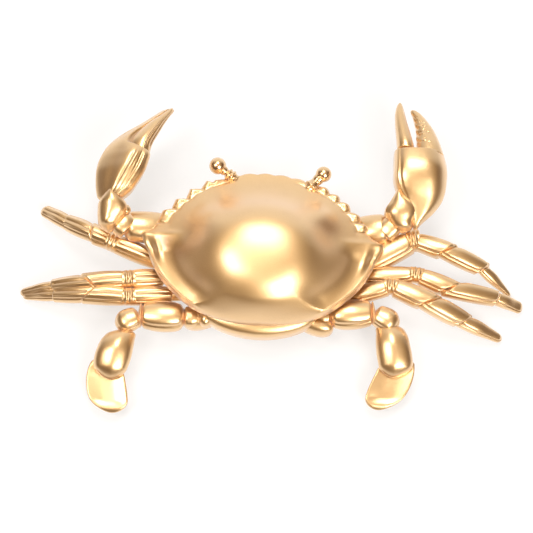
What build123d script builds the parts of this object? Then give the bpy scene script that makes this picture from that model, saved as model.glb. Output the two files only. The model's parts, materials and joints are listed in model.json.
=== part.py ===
from build123d import *
import os
from math import cos, radians, sin, sqrt

# Crab figurine: hollow back shell, solid underbody and ten limbs, cast apart, then pinned and glued
# Millimetres. The origin is the middle of the felt pad's underside, +X to the crab's right, +Y to its
# front, +Z up. In the tables "out" runs away from the body on the limb's own side, "fore" to the front.

# Back shell
shell_half_width = 49.5
shell_half_length = 37.4
shell_lead = 1.5
rim_height = 22.0
wing_rise = 7.0
dome_rise = 17.0
dome_half_width = 33.0
dome_half_length = 31.0
dome_setback = 5.5
dome_power = 2.5
shell_wall = 4.0
rim_width = 8.0
tooth_height = 2.4
scallop_height = 0.9
left_tooth_angles = (56.5, 45.5, 34.6, 23.9)
right_tooth_angles = (55.5, 46.9, 38.7, 28.0, 19.1)
tooth_notch_turn = 3.0
last_notch_angle = 12.0
scallop_count = 5
scallop_angles = (66.0, 112.0)
spine_shares = (1.15, 0.11)
back_edge_shares = (
    (1.09, -0.11), (1.01, -0.33), (0.82, -0.64), (0.60, -0.86), (0.36, -0.965), (0.0, -1.013),
)

# Underbody
felt_thickness = 1.5
felt_half_width = 27.0
felt_half_length = 17.0
felt_inset = 3.0
flank_width_inset = 8.5
flank_length_share = 0.829
low_flank_inset = 3.0
low_flank_height = 6.0
high_flank_height = 18.0
shell_overhang = 4.0
spigot_height = 2.0
spigot_clearance = 0.3
apron_half_width = 16.5
apron_reach = 11.5
apron_half_depth = 6.5

# Sockets that carry the limbs
hip_height = 12.0
boss_stand = 5.5
boss_length = 10.0
boss_clearance = 0.3
dowel_clearance = 0.1

# Walking legs
leg_pitch_share = 0.29
leg_row_setback_share = 0.323
leg_girth_share = 0.214
leg_boss_radius = 3.1
leg_dowel_radius = 1.2
leg_dowel_length = 10.0
left_front_leg_reach = 70.0
left_middle_leg_reach = 75.0
left_rear_leg_reach = 80.0
right_front_leg_reach = 78.0
right_middle_leg_reach = 85.0
right_rear_leg_reach = 84.0

# Swimming legs
swimming_leg_reach_share = 1.604
swimming_leg_girth_share = 0.4545
swimming_hip_length = 6.5
swimming_hip_width = 6.2
swimming_root_share = 0.5

# Claws
claw_reach_share = 1.604
claw_girth_share = 0.642
claw_height = 28.0
claw_root_lead_share = 0.45
claw_root_height = 13.0
claw_boss_radius = 5.4
claw_boss_stand = 3.5
claw_dowel_radius = 2.0
claw_dowel_length = 16.0
wrist_dowel_radius = 2.0
wrist_dowel_length = 12.0
finger_dowel_radius = 1.2
finger_dowel_length = 8.0
arm_depth_share = 0.8
palm_depth_share = 0.64
finger_depth_share = 0.84

# Eyes
left_eye_radius = 3.1
right_eye_radius = 2.7
eye_stalk_radius = 1.5
eye_collar_radius = 2.2
eye_collar_width = 1.2
left_eye_stand = 8.0
right_eye_stand = 6.2
eye_peg_length = 4.0
eye_seat_clearance = 0.8
eye_height_above_rim = 2.4
left_eye_angle = 110.0
right_eye_angle = 62.8
left_eye_turn = 157.0
right_eye_turn = 44.0
eye_tilt = 10.0

# Places of the joints along each walking leg: out and fore as shares of the leg's reach from its root,
# height as a share of hip_height
left_front_leg_shares = (
    (0.060, -0.018, 1.0), (0.353, 0.101, 1.13), (0.552, 0.195, 1.17),
    (0.726, 0.282, 0.83), (0.887, 0.369, 0.33),
)
left_middle_leg_shares = (
    (0.049, -0.013, 1.0), (0.247, -0.032, 1.33), (0.502, -0.060, 1.33),
    (0.727, -0.073, 0.75), (0.949, -0.096, 0.2),
)
left_rear_leg_shares = (
    (0.077, -0.011, 1.0), (0.313, -0.047, 1.25), (0.540, -0.062, 1.25),
    (0.753, -0.044, 0.75), (0.963, -0.034, 0.2),
)
right_front_leg_shares = (
    (0.065, 0.006, 1.0), (0.328, 0.162, 1.25), (0.537, 0.083, 1.42),
    (0.762, 0.010, 1.0), (0.950, -0.116, 0.25),
)
right_middle_leg_shares = (
    (0.079, 0.025, 1.0), (0.362, 0.038, 1.25), (0.557, -0.039, 1.25),
    (0.820, -0.061, 0.75), (0.974, -0.082, 0.25),
)
right_rear_leg_shares = (
    (0.095, 0.018, 0.95), (0.304, 0.066, 1.33), (0.529, -0.016, 1.33),
    (0.726, -0.094, 0.83), (0.951, -0.160, 0.2),
)

# Width of each leg segment, from the hip to the toe, as a share of leg_girth
left_front_width_shares = (0.76, 0.88, 0.85, 0.68, 0.56)
left_middle_width_shares = (0.76, 0.95, 0.96, 0.74, 0.50)
left_rear_width_shares = (0.76, 0.92, 1.02, 0.90, 0.66)
right_front_width_shares = (0.76, 1.20, 0.96, 0.88, 0.52)
right_middle_width_shares = (0.76, 0.80, 0.98, 0.92, 0.64)
right_rear_width_shares = (0.73, 0.78, 1.08, 1.04, 0.76)

# Sections along one segment: place along it and width as shares of the segment's own. A joint is pinched to
# joint_width_share of the narrower segment beside it.
hip_section_shares = ((0.5, 0.98),)
limb_section_shares = ((0.22, 0.95), (0.55, 1.0), (0.84, 0.93))
toe_section_shares = ((0.22, 0.96), (0.50, 0.94), (0.78, 0.76), (0.94, 0.56), (1.0, 0.34))
joint_width_share = 0.78
leg_depth_share = 0.86

ring_section_shares = ((0.15, 0.9), (0.35, 1.0), (0.6, 1.0), (0.8, 0.9))
swimming_section_shares = ((0.12, 0.78), (0.35, 0.97), (0.6, 1.0), (0.85, 0.88), (1.0, 0.66))
swimming_hip_section_shares = ((0.0, 1.0, 0.86), (0.35, 1.08, 0.94), (0.70, 0.96, 0.84), (1.0, 0.54, 0.46))

# Short, broad segments: place along the segment, width and depth as shares of the segment's width
knuckle_section_shares = ((-0.20, 0.50, 0.44), (0.0, 0.80, 0.70), (0.30, 1.0, 0.84), (0.70, 1.0, 0.80),
                          (1.0, 0.80, 0.64), (1.15, 0.50, 0.40))
palm_section_shares = ((-0.05, 0.44, 0.22), (0.03, 0.66, 0.34), (0.25, 0.94, 0.46), (0.55, 1.0, 0.50),
                       (0.85, 0.86, 0.42), (1.0, 0.56, 0.28), (1.04, 0.36, 0.18))
paddle_section_shares = ((0.0, 0.70, 0.20), (0.25, 0.94, 0.24), (0.5, 1.0, 0.24), (0.75, 0.84, 0.22),
                         (0.92, 0.56, 0.18), (1.0, 0.28, 0.12))

# Apron: place along its reach, width and depth as shares of its half width and half depth
apron_section_shares = (
    (-0.4, 1.0, 0.9), (0.0, 1.0, 1.0), (0.5, 0.86, 0.92), (0.84, 0.56, 0.66), (1.0, 0.26, 0.34),
)

# Swimming legs: joints as for the walking legs, out and fore as shares of swimming_leg_reach; the last
# pair is the paddle, which starts under the end of the palm before it
left_swimming_leg_shares = (
    (0.197, -0.050, 1.05), (0.547, -0.058, 1.2), (0.655, -0.178, 1.2), (0.722, -0.487, 0.95),
)
left_paddle_shares = ((0.775, -0.437, 0.80), (0.672, -0.775, 0.55))
right_swimming_leg_shares = (
    (0.177, 0.018, 1.05), (0.522, 0.053, 1.2), (0.655, -0.038, 1.2), (0.713, -0.370, 0.95),
)
right_paddle_shares = ((0.730, -0.270, 0.80), (0.613, -0.645, 0.55))
swimming_width_shares = (0.50, 0.78, 0.66, 1.0)
paddle_width_share = 1.1
ring_start_share = 0.6
ring_start_width_share = 0.36

# Claws: out and fore as shares of claw_reach from the claw's root, height as a share of claw_height, half
# width as a share of claw_girth
left_merus_shares = (
    (0.10, 0.0, 0.49, 0.30), (0.233, 0.0, 0.59, 0.312),
    (0.35, -0.012, 0.68, 0.275), (0.40, -0.02, 0.714, 0.167),
)
left_carpus_shares = (
    (0.43, -0.095, 0.73, 0.167), (0.443, -0.058, 0.768, 0.262), (0.47, 0.025, 0.857, 0.317),
    (0.487, 0.078, 0.915, 0.30),
)
left_wrist_shares = (0.495, 0.122, 0.957)
left_palm_shares = (
    (0.495, 0.167, 1.0, 0.375), (0.478, 0.25, 1.018, 0.442), (0.455, 0.358, 1.036, 0.483),
    (0.437, 0.45, 1.036, 0.47),
)
left_finger_base_shares = (0.422, 0.517, 1.036)
left_fixed_finger_shares = (
    (0.508, 0.50, 1.0, 0.14), (0.458, 0.603, 1.0, 0.135),
    (0.348, 0.712, 0.98, 0.092), (0.26, 0.798, 0.96, 0.067),
    (0.173, 0.877, 0.94, 0.042), (0.140, 0.913, 0.93, 0.022),
)
left_finger_shares = (
    (0.308, 0.60, 1.07, 0.172), (0.237, 0.715, 1.05, 0.115), (0.180, 0.798, 1.02, 0.088),
    (0.120, 0.877, 0.98, 0.055), (0.093, 0.938, 0.96, 0.028),
)
right_merus_shares = (
    (0.10, 0.017, 0.50, 0.30), (0.217, 0.038, 0.62, 0.310),
    (0.308, 0.052, 0.74, 0.262), (0.35, 0.055, 0.78, 0.167),
)
right_carpus_shares = (
    (0.325, -0.015, 0.78, 0.160), (0.347, 0.025, 0.80, 0.255), (0.387, 0.108, 0.86, 0.320),
    (0.420, 0.170, 0.90, 0.310),
)
right_wrist_shares = (0.447, 0.217, 0.929)
right_palm_shares = (
    (0.505, 0.27, 0.964, 0.425), (0.538, 0.367, 1.0, 0.515), (0.535, 0.50, 1.018, 0.52),
    (0.520, 0.60, 1.018, 0.483),
)
right_finger_base_shares = (0.513, 0.662, 1.018)
right_fixed_finger_shares = (
    (0.607, 0.617, 1.0, 0.205), (0.595, 0.692, 0.98, 0.215), (0.583, 0.758, 0.96, 0.192),
    (0.560, 0.825, 0.95, 0.152), (0.533, 0.897, 0.93, 0.110), (0.492, 0.983, 0.92, 0.060),
    (0.470, 1.033, 0.91, 0.028),
)
right_finger_shares = (
    (0.407, 0.733, 1.04, 0.162), (0.387, 0.825, 1.02, 0.125), (0.373, 0.925, 0.98, 0.100),
    (0.368, 1.008, 0.95, 0.070), (0.370, 1.10, 0.93, 0.032),
)
root_width_share = 0.24
wrist_width_share = 0.267
palm_end_width_share = 0.442
right_palm_end_width_share = 0.467
finger_base_width_share = 0.195
left_finger_offset_share = 0.215
right_finger_offset_share = 0.232

# Directions of the wrists and of the finger joints
left_wrist_heading = Vector(0.0, 0.97, 0.24)
right_wrist_heading = Vector(0.72, 0.69, 0.0)
left_finger_heading = Vector(0.30, 0.954, 0.0)
right_finger_heading = Vector(-0.03, 1.0, 0.0)

# The underbody's flanks are set in under the shell's edge, and the limbs keep in proportion to its length
flank_half_width = shell_half_width - flank_width_inset
flank_half_length = flank_length_share * shell_half_length
low_flank_half_width = flank_half_width - low_flank_inset
low_flank_half_length = flank_half_length - low_flank_inset
leg_pitch = leg_pitch_share * flank_half_length
leg_row_setback = leg_row_setback_share * flank_half_length
leg_girth = leg_girth_share * shell_half_length
swimming_leg_reach = swimming_leg_reach_share * shell_half_length
swimming_leg_girth = swimming_leg_girth_share * shell_half_length
claw_reach = claw_reach_share * shell_half_length
claw_girth = claw_girth_share * shell_half_length
claw_root_lead = claw_root_lead_share * flank_half_length

os.makedirs("parts", exist_ok=True)


# Surfaces and places worked out from the sizes
def back_height(x, y):
    """Height of the back above the rim: a low swell out to the wings plus the round dome over the body."""
    swell = (x / shell_half_width) ** 2 + (y / shell_half_length) ** 2
    dome = (x / dome_half_width) ** 2 + ((y + dome_setback - shell_lead) / dome_half_length) ** 2
    return wing_rise / (1 + swell) ** 2 + dome_rise / (1 + dome**dome_power)


def edge_point(angle, stand=0.0):
    """Point of the shell's front edge, an ellipse, moved out by stand."""
    x = (shell_half_width + stand) * cos(radians(angle))
    y = shell_lead + (shell_half_length + stand) * sin(radians(angle))
    return (x, y)


def shell_point(side, shares):
    """Point of the outline given as shares of the shell's half width and half length."""
    return (side * shares[0] * shell_half_width, shell_lead + shares[1] * shell_half_length)


def toothed_edge(side, tooth_angles):
    """Points from the eye to the side spine: each tooth has a notch close in front of its tip."""
    points = []
    for angle in tooth_angles:
        points += [edge_point(angle + tooth_notch_turn), edge_point(angle, tooth_height)]
    points.append(edge_point(last_notch_angle))
    return [(side * x, y) for x, y in points] + [shell_point(side, spine_shares)]


def space_under_back(drop):
    """Solid between the back's surface, lowered by drop, and well below the rim."""
    columns = 29
    spread_share = 1.4
    places = [spread_share * (2 * step / (columns - 1) - 1) for step in range(columns)]
    rows = [
        [Vector(x * shell_half_width, y * shell_half_length, rim_height - drop
                + back_height(x * shell_half_width, y * shell_half_length)) for x in places]
        for y in places
    ]
    surface = Face.make_surface_from_array_of_points(rows)
    return extrude(surface, amount=rim_height + dome_rise, dir=(0, 0, -1), mode=Mode.PRIVATE)


def flank_point(fore):
    """How far out the underbody's flank lies at the hips, at a place along the body."""
    return flank_half_width * sqrt(1 - ((fore - shell_lead) / flank_half_length) ** 2)


def section_plane(place, heading):
    """Plane across a limb: its X lies level, its Z points along the limb."""
    ahead = Vector(*heading).normalized()
    across = ahead.cross(Vector(0, 0, 1)).normalized()
    return Plane(origin=Vector(*place), x_dir=across, z_dir=ahead)


def limb_root(side, out, fore, height, heading, stand):
    """Plane of a limb's root, standing off the flank along the limb."""
    return section_plane(Vector(side * out, fore, height) + heading * stand, heading)


def limb_places(side, root, reach, height, shares):
    """Places along a limb from its root, by shares of its reach and of a height."""
    return [Vector(root.origin.X + side * reach * row[0], root.origin.Y + reach * row[1], height * row[2])
            for row in shares]


def lofted(places, headings, half_widths, half_depths):
    """Solid through level ellipses, one at each place."""
    with BuildPart() as solid:
        for place, heading, half_width, half_depth in zip(places, headings, half_widths, half_depths):
            with BuildSketch(section_plane(place, heading)):
                Ellipse(half_width, half_depth)
        loft()
    return solid.part


def jointed_limb(root, places, widths, section_tables, root_width):
    """One casting from a limb's root through its joints, pinched at each joint and full between them."""
    ends = [root.origin] + places
    ahead = [(end - start).normalized() for start, end in zip(ends, ends[1:])]
    sections = [(root.origin, root.z_dir, root_width)]
    for index, (start, end, width, table) in enumerate(zip(ends, ends[1:], widths, section_tables)):
        for along, width_share in table:
            sections.append((start + (end - start) * along, ahead[index], width * width_share))
        if index + 1 < len(places):
            bisector = (ahead[index] + ahead[index + 1]).normalized()
            sections.append((end, bisector, joint_width_share * min(width, widths[index + 1])))
    half_widths = [width / 2 for place, heading, width in sections]
    places = [place for place, heading, width in sections]
    headings = [heading for place, heading, width in sections]
    return lofted(places, headings, half_widths, [leg_depth_share * width for width in half_widths])


def limb_segment(start, end, width, section_shares):
    """Straight segment of a limb, swelling and tapering by its table of sections."""
    heading = (end - start).normalized()
    places = [start + (end - start) * row[0] for row in section_shares]
    half_widths = [row[1] * width / 2 for row in section_shares]
    half_depths = [row[2] * width / 2 for row in section_shares]
    return lofted(places, [heading] * len(places), half_widths, half_depths)


def curved_segment(places, half_widths, depth_share, start_heading=None, end_heading=None):
    """Curved piece of a claw: its sections turn with the line through its places."""
    headings = []
    for index in range(len(places)):
        before = places[max(index - 1, 0)]
        after = places[min(index + 1, len(places) - 1)]
        headings.append((after - before).normalized())
    headings[0] = start_heading or headings[0]
    headings[-1] = end_heading or headings[-1]
    return lofted(places, headings, half_widths, [depth_share * width for width in half_widths])


def claw_places(side, rows):
    """Places along a claw from its root."""
    return limb_places(side, claw_roots[side], claw_reach, claw_height, rows)


def claw_half_widths(rows):
    """Half widths of a claw's sections."""
    return [row[3] * claw_girth for row in rows]


def dowel_bore(plane, radius, length):
    """Bore that clears a dowel lying half on each side of a plane."""
    with BuildPart(plane) as bore:
        Cylinder(radius + dowel_clearance, length + 2 * dowel_clearance)
    return bore.part


def boss_space(plane):
    """Space that a leg leaves free round its boss."""
    with BuildPart(plane) as space:
        Cylinder(leg_boss_radius + boss_clearance, boss_length,
                 align=(Align.CENTER, Align.CENTER, Align.MAX))
    return space.part


# Roots of the limbs, front to rear
leg_tables = {
    "left_front_leg": (-1, 1, left_front_leg_reach, left_front_leg_shares, left_front_width_shares),
    "left_middle_leg": (-1, 0, left_middle_leg_reach, left_middle_leg_shares, left_middle_width_shares),
    "left_rear_leg": (-1, -1, left_rear_leg_reach, left_rear_leg_shares, left_rear_width_shares),
    "right_front_leg": (1, 1, right_front_leg_reach, right_front_leg_shares, right_front_width_shares),
    "right_middle_leg": (1, 0, right_middle_leg_reach, right_middle_leg_shares, right_middle_width_shares),
    "right_rear_leg": (1, -1, right_rear_leg_reach, right_rear_leg_shares, right_rear_width_shares),
}
swimming_tables = {
    "left_swimming_leg": (-1, left_swimming_leg_shares, left_paddle_shares),
    "right_swimming_leg": (1, right_swimming_leg_shares, right_paddle_shares),
}

leg_roots = {}
for name, (side, row, reach, shares, widths) in leg_tables.items():
    fore = row * leg_pitch - leg_row_setback
    heading = Vector(side * shares[0][0], shares[0][1], 0).normalized()
    leg_roots[name] = limb_root(side, flank_point(fore), fore, hip_height, heading, boss_stand)

for name, (side, shares, paddle) in swimming_tables.items():
    out = swimming_root_share * flank_half_width
    fore = shell_lead - flank_half_length * sqrt(1 - swimming_root_share**2)
    slope_out = side * out / flank_half_width**2
    slope_fore = (fore - shell_lead) / flank_half_length**2
    heading = Vector(slope_out, slope_fore, 0).normalized()
    leg_roots[name] = limb_root(side, out, fore, hip_height, heading, boss_stand)

claw_roots = {}
for side in (-1, 1):
    claw_roots[side] = limb_root(side, flank_point(claw_root_lead), claw_root_lead, claw_root_height,
                                 Vector(side, 0, 0), claw_boss_stand)

# Wrist and finger planes
left_wrist, left_finger_base = claw_places(-1, (left_wrist_shares, left_finger_base_shares))
right_wrist, right_finger_base = claw_places(1, (right_wrist_shares, right_finger_base_shares))
left_wrist_plane = section_plane(left_wrist, left_wrist_heading)
right_wrist_plane = section_plane(right_wrist, right_wrist_heading)
left_palm_end_plane = section_plane(left_finger_base, left_finger_heading)
right_palm_end_plane = section_plane(right_finger_base, right_finger_heading)
left_finger_root = left_finger_base + left_palm_end_plane.x_dir * left_finger_offset_share * claw_girth
right_finger_root = right_finger_base - right_palm_end_plane.x_dir * right_finger_offset_share * claw_girth
left_finger_plane = section_plane(left_finger_root, left_finger_heading)
right_finger_plane = section_plane(right_finger_root, right_finger_heading)

# Eyes look out and forward from the shell's front edge
eye_tables = {
    "left_eye": (left_eye_angle, left_eye_turn, left_eye_radius, left_eye_stand),
    "right_eye": (right_eye_angle, right_eye_turn, right_eye_radius, right_eye_stand),
}
eye_planes = {}
for name, (angle, turn, radius, stand) in eye_tables.items():
    x, y = edge_point(angle)
    heading = Vector(cos(radians(turn)), sin(radians(turn)), sin(radians(eye_tilt)))
    eye_planes[name] = section_plane((x, y, rim_height + eye_height_above_rim), heading)

# Back shell: the outline under the back's surface, hollowed from below and spot-faced for the eyes
back_space = space_under_back(0.0)
cavity_space = space_under_back(shell_wall)
edge_points = toothed_edge(1, right_tooth_angles)
left_edge_points = toothed_edge(-1, left_tooth_angles)
back_points = [shell_point(1, shares) for shares in back_edge_shares]
back_points += [shell_point(-1, shares) for shares in reversed(back_edge_shares[:-1])]

with BuildPart() as carapace:
    with BuildSketch(Plane.XY.offset(rim_height)):
        with BuildLine():
            first_angle, last_angle = scallop_angles
            step = (last_angle - first_angle) / scallop_count
            for index in range(scallop_count):
                start = first_angle + index * step
                crest = edge_point(start + step / 2, scallop_height)
                ThreePointArc(edge_point(start), crest, edge_point(start + step))
            Polyline(edge_point(first_angle), *edge_points, back_points[0])
            Spline(*back_points)
            Polyline(edge_point(last_angle), *left_edge_points, back_points[-1])
        make_face()
    extrude(amount=rim_height + dome_rise)
    add(back_space, mode=Mode.INTERSECT)
    with BuildSketch(Plane.XY.offset(rim_height)):
        with Locations((0, shell_lead)):
            Ellipse(shell_half_width - rim_width, shell_half_length - rim_width)
    cavity_room = extrude(amount=dome_rise + wing_rise, mode=Mode.PRIVATE)
    add(cavity_room & cavity_space, mode=Mode.SUBTRACT)
    for name, (angle, turn, radius, stand) in eye_tables.items():
        with Locations(eye_planes[name]):
            Cylinder(eye_collar_radius + eye_seat_clearance, stand,
                     align=(Align.CENTER, Align.CENTER, Align.MIN), mode=Mode.SUBTRACT)
            Cylinder(eye_stalk_radius + dowel_clearance, eye_peg_length + dowel_clearance,
                     align=(Align.CENTER, Align.CENTER, Align.MAX), mode=Mode.SUBTRACT)
carapace.part.label = "carapace"
export_step(carapace.part, "parts/carapace.step")

# Underbody: a bowl from the belly land to the rim, with a spigot inside the shell, the rear apron and a
# boss for each limb
apron_start = Vector(0, shell_lead - flank_half_length, hip_height)
apron_places = [apron_start - Vector(0, row[0] * apron_reach, 0) for row in apron_section_shares]
apron_bulge = lofted(apron_places, [Vector(0, -1, 0)] * len(apron_places),
                     [row[1] * apron_half_width for row in apron_section_shares],
                     [row[2] * apron_half_depth for row in apron_section_shares])
underbody_sections = (
    (felt_thickness, felt_half_width + felt_inset, felt_half_length + felt_inset),
    (low_flank_height, low_flank_half_width, low_flank_half_length),
    (hip_height, flank_half_width, flank_half_length),
    (high_flank_height, flank_half_width, flank_half_length),
    (rim_height, shell_half_width - shell_overhang, shell_half_length - shell_overhang),
)

with BuildPart() as underbody:
    for height, half_width, half_length in underbody_sections:
        with BuildSketch(Plane.XY.offset(height)):
            with Locations((0, shell_lead)):
                Ellipse(half_width, half_length)
    loft()
    with BuildSketch(Plane.XY.offset(rim_height)):
        with Locations((0, shell_lead)):
            spigot_inset = rim_width + spigot_clearance
            Ellipse(shell_half_width - spigot_inset, shell_half_length - spigot_inset)
    extrude(amount=spigot_height)
    add(apron_bulge)
    for plane in leg_roots.values():
        with Locations(plane):
            Cylinder(leg_boss_radius, boss_length, align=(Align.CENTER, Align.CENTER, Align.MAX))
        add(dowel_bore(plane, leg_dowel_radius, leg_dowel_length), mode=Mode.SUBTRACT)
    for plane in claw_roots.values():
        with Locations(plane):
            Cylinder(claw_boss_radius, boss_length, align=(Align.CENTER, Align.CENTER, Align.MAX))
        add(dowel_bore(plane, claw_dowel_radius, claw_dowel_length), mode=Mode.SUBTRACT)
underbody.part.label = "underbody"
export_step(underbody.part, "parts/underbody.step")

# Eyes: a peg in the shell, a collar on its seat, a stalk and a ball
for name, (angle, turn, radius, stand) in eye_tables.items():
    with BuildPart() as eye:
        with Locations(eye_planes[name]):
            Cylinder(eye_stalk_radius, eye_peg_length, align=(Align.CENTER, Align.CENTER, Align.MAX))
            Cylinder(eye_collar_radius, eye_collar_width, align=(Align.CENTER, Align.CENTER, Align.MIN))
            Cylinder(eye_stalk_radius, stand, align=(Align.CENTER, Align.CENTER, Align.MIN))
        with Locations(eye_planes[name].offset(stand)):
            Sphere(radius)
    eye.part.label = name
    export_step(eye.part, f"parts/{name}.step")

# Walking legs: hip, upper leg, wrist, palm and toe of each leg in one casting
for name, (side, row, reach, shares, widths) in leg_tables.items():
    root = leg_roots[name]
    places = limb_places(side, root, reach, hip_height, shares)
    casting = jointed_limb(root, places, [width * leg_girth for width in widths],
                           [hip_section_shares] + [limb_section_shares] * 3 + [toe_section_shares],
                           widths[0] * leg_girth)
    with BuildPart() as leg:
        add(casting)
        add(dowel_bore(root, leg_dowel_radius, leg_dowel_length), mode=Mode.SUBTRACT)
    leg.part.label = name
    export_step(leg.part, f"parts/{name}.step")

# Swimming legs: hip, ring and upper leg, then a knuckle, a flat palm and a paddle
for name, (side, shares, paddle_shares) in swimming_tables.items():
    root = leg_roots[name]
    places = limb_places(side, root, swimming_leg_reach, hip_height, shares)
    widths = [width * swimming_leg_girth for width in swimming_width_shares]
    hip_end = root.origin + root.z_dir * swimming_hip_length
    ring_start = root.origin + (hip_end - root.origin) * ring_start_share
    ring_plane = section_plane(ring_start, places[0] - ring_start)
    paddle_start, paddle_end = limb_places(side, root, swimming_leg_reach, hip_height, paddle_shares)
    castings = [
        limb_segment(root.origin, hip_end, swimming_hip_width, swimming_hip_section_shares),
        jointed_limb(ring_plane, places[:2], widths[:2], [ring_section_shares, swimming_section_shares],
                     ring_start_width_share * swimming_leg_girth),
        limb_segment(places[1], places[2], widths[2], knuckle_section_shares),
        limb_segment(places[2], places[3], widths[3], palm_section_shares),
        limb_segment(paddle_start, paddle_end, paddle_width_share * swimming_leg_girth,
                     paddle_section_shares),
    ]
    with BuildPart() as swimming_leg:
        for casting in castings:
            add(casting)
        add(boss_space(root), mode=Mode.SUBTRACT)
        add(dowel_bore(root, leg_dowel_radius, leg_dowel_length), mode=Mode.SUBTRACT)
    swimming_leg.part.label = name
    export_step(swimming_leg.part, f"parts/{name}.step")

# Claws: arm up to the wrist, hand with its fixed finger, and the finger above it
claw_tables = {
    "left": (-1, left_merus_shares, left_carpus_shares, left_palm_shares, left_fixed_finger_shares,
             left_finger_shares, left_wrist_plane, left_palm_end_plane, left_finger_plane,
             palm_end_width_share),
    "right": (1, right_merus_shares, right_carpus_shares, right_palm_shares, right_fixed_finger_shares,
              right_finger_shares, right_wrist_plane, right_palm_end_plane, right_finger_plane,
              right_palm_end_width_share),
}
for name, table in claw_tables.items():
    side, merus, carpus, palm, fixed_finger, finger = table[:6]
    wrist_plane, palm_end_plane, finger_plane, palm_end = table[6:]
    root = claw_roots[side]
    upper_arm = curved_segment([root.origin] + claw_places(side, merus),
                               [root_width_share * claw_girth] + claw_half_widths(merus),
                               arm_depth_share, start_heading=root.z_dir)
    forearm = curved_segment(claw_places(side, carpus) + [wrist_plane.origin],
                             claw_half_widths(carpus) + [wrist_width_share * claw_girth],
                             arm_depth_share, end_heading=wrist_plane.z_dir)
    with BuildPart() as claw_arm:
        add([upper_arm, forearm])
        add(dowel_bore(root, claw_dowel_radius, claw_dowel_length), mode=Mode.SUBTRACT)
        add(dowel_bore(wrist_plane, wrist_dowel_radius, wrist_dowel_length), mode=Mode.SUBTRACT)
    claw_arm.part.label = f"{name}_claw_arm"
    export_step(claw_arm.part, f"parts/{name}_claw_arm.step")

    palm_places = [wrist_plane.origin] + claw_places(side, palm) + [palm_end_plane.origin]
    palm_half_widths = [wrist_width_share * claw_girth] + claw_half_widths(palm) + [palm_end * claw_girth]
    palm_casting = curved_segment(palm_places, palm_half_widths, palm_depth_share,
                                  start_heading=wrist_plane.z_dir, end_heading=palm_end_plane.z_dir)
    fixed_casting = curved_segment(claw_places(side, fixed_finger), claw_half_widths(fixed_finger),
                                   finger_depth_share)
    with BuildPart() as claw_hand:
        add([palm_casting, fixed_casting])
        add(dowel_bore(wrist_plane, wrist_dowel_radius, wrist_dowel_length), mode=Mode.SUBTRACT)
        add(dowel_bore(finger_plane, finger_dowel_radius, finger_dowel_length), mode=Mode.SUBTRACT)
    claw_hand.part.label = f"{name}_claw_hand"
    export_step(claw_hand.part, f"parts/{name}_claw_hand.step")

    finger_casting = curved_segment([finger_plane.origin] + claw_places(side, finger),
                                    [finger_base_width_share * claw_girth] + claw_half_widths(finger),
                                    finger_depth_share, start_heading=finger_plane.z_dir)
    with BuildPart() as claw_finger:
        add(finger_casting)
        add(dowel_bore(finger_plane, finger_dowel_radius, finger_dowel_length), mode=Mode.SUBTRACT)
    claw_finger.part.label = f"{name}_claw_finger"
    export_step(claw_finger.part, f"parts/{name}_claw_finger.step")

# Dowels in their blind bores
dowel_groups = {
    "leg_dowels": (leg_roots.values(), leg_dowel_radius, leg_dowel_length),
    "claw_dowels": (claw_roots.values(), claw_dowel_radius, claw_dowel_length),
    "wrist_dowels": ((left_wrist_plane, right_wrist_plane), wrist_dowel_radius, wrist_dowel_length),
    "finger_dowels": ((left_finger_plane, right_finger_plane), finger_dowel_radius, finger_dowel_length),
}
for name, (planes, radius, length) in dowel_groups.items():
    with BuildPart() as dowels:
        for plane in planes:
            with Locations(plane):
                Cylinder(radius, length)
    dowels.part.label = name
    export_step(dowels.part, f"parts/{name}.step")

# Felt pad under the belly
with BuildPart() as base_felt:
    with BuildSketch(Plane.XY):
        Ellipse(felt_half_width, felt_half_length)
    extrude(amount=felt_thickness)
base_felt.part.label = "base_felt"
export_step(base_felt.part, "parts/base_felt.step")
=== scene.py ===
# %% [markdown]
# # A gold crab, casting by casting
# The ornament is a crab in satin gold: a domed back shell on a belly casting, two claws, six walking legs,
# two paddle legs and two stalked eyes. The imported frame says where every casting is. This script gives each
# one its carved surface. Nearly all of them are tubes or domes, so they can be worked out as formulas on a
# grid, a whole array at a time, which is quicker and smoother than pushing single points about.

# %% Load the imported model
import json

import bpy
import numpy as np
from mathutils import Matrix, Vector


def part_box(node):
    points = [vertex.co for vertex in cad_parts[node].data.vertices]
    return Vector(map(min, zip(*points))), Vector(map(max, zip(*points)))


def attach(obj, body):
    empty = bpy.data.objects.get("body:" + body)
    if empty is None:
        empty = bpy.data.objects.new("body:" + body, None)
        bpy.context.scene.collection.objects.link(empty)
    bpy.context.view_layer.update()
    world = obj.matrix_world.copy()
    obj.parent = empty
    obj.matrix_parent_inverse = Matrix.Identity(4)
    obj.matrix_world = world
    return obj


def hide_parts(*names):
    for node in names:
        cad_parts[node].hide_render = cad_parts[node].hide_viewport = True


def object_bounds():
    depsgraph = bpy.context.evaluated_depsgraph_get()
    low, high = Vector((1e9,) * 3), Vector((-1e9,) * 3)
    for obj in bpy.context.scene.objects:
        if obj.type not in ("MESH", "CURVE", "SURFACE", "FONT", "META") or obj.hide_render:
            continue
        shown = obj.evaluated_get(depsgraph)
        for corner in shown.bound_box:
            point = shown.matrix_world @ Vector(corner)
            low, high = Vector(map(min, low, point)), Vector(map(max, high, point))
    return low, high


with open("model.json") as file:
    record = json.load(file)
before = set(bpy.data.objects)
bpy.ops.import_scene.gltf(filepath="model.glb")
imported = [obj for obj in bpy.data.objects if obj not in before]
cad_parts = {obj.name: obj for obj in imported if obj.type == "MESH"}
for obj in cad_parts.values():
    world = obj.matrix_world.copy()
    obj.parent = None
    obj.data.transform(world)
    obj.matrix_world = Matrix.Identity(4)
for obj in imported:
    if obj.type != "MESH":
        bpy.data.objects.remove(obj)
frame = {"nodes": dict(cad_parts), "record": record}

cad_low, cad_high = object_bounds()
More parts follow.
